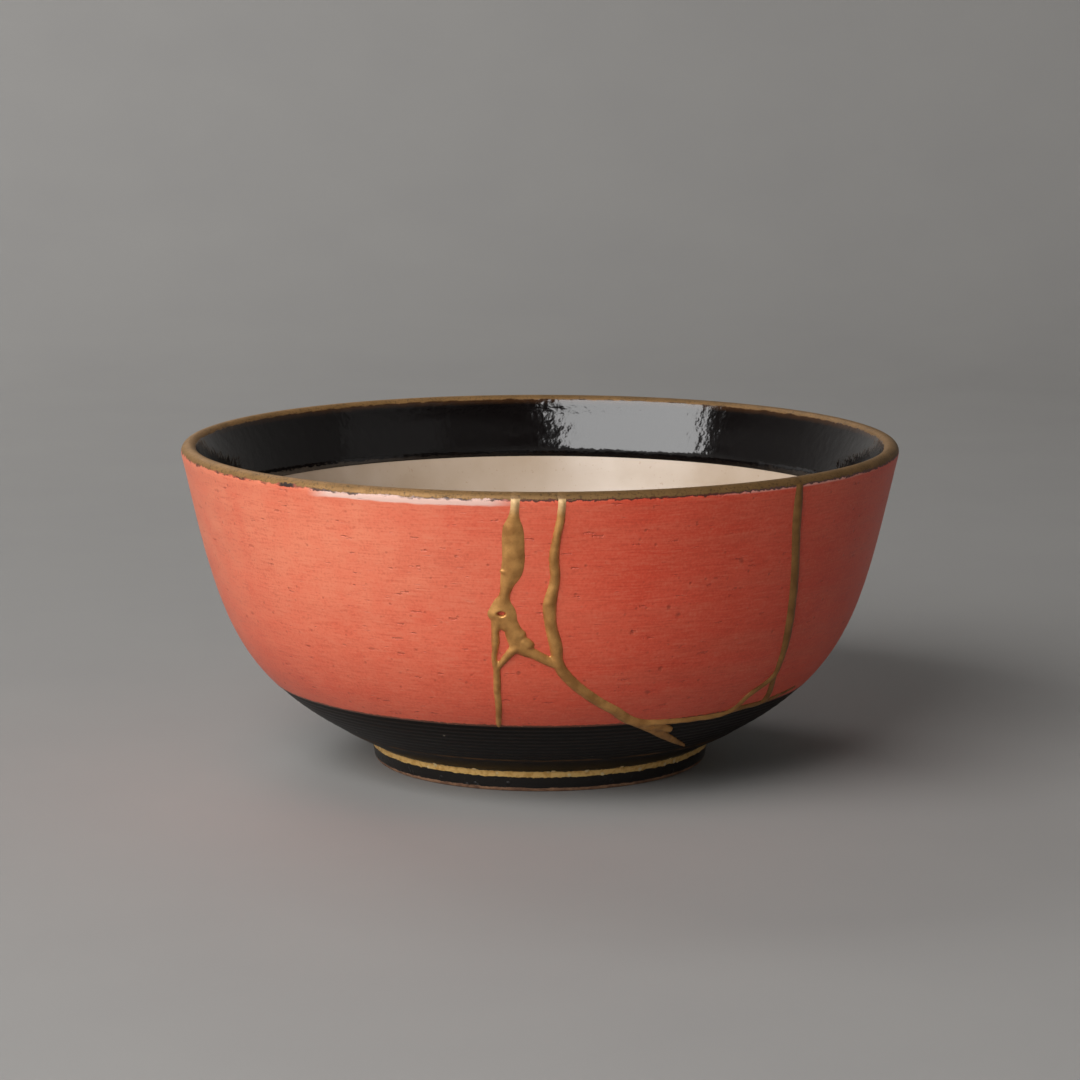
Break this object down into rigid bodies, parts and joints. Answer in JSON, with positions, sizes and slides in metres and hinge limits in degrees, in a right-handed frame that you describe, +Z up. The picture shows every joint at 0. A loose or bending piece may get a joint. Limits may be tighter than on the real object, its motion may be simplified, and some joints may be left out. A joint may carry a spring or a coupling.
{
  "type": "kintsugi bowl",
  "caption": "Wide footed glazed bowl mended with raised gold lacquer seams; coral outside, black shoulder band and cream well inside, gilded lip and foot line.",
  "frame": {"origin": "centre of the foot ring's resting plane, at the bottom centre of the bowl's box", "axes": "+Z up along the bowl's turning axis; the mended side with the two gold drips faces -Y, and +X is to the right as that side is seen"},
  "size_m": [0.18, 0.1803, 0.0813],
  "materials": {
    "glazed_stoneware": "satin coral glaze outside, gloss black glaze inside the rim and under the belly, cream glaze in the well",
    "gold_lacquer": "satin"
  },
  "bodies": {
    "root": {"bowl_body": "glazed_stoneware", "wide_rim_sherd": "glazed_stoneware", "narrow_rim_sherd": "glazed_stoneware", "gold_seam": "gold_lacquer"}
  },
  "joints": []
}
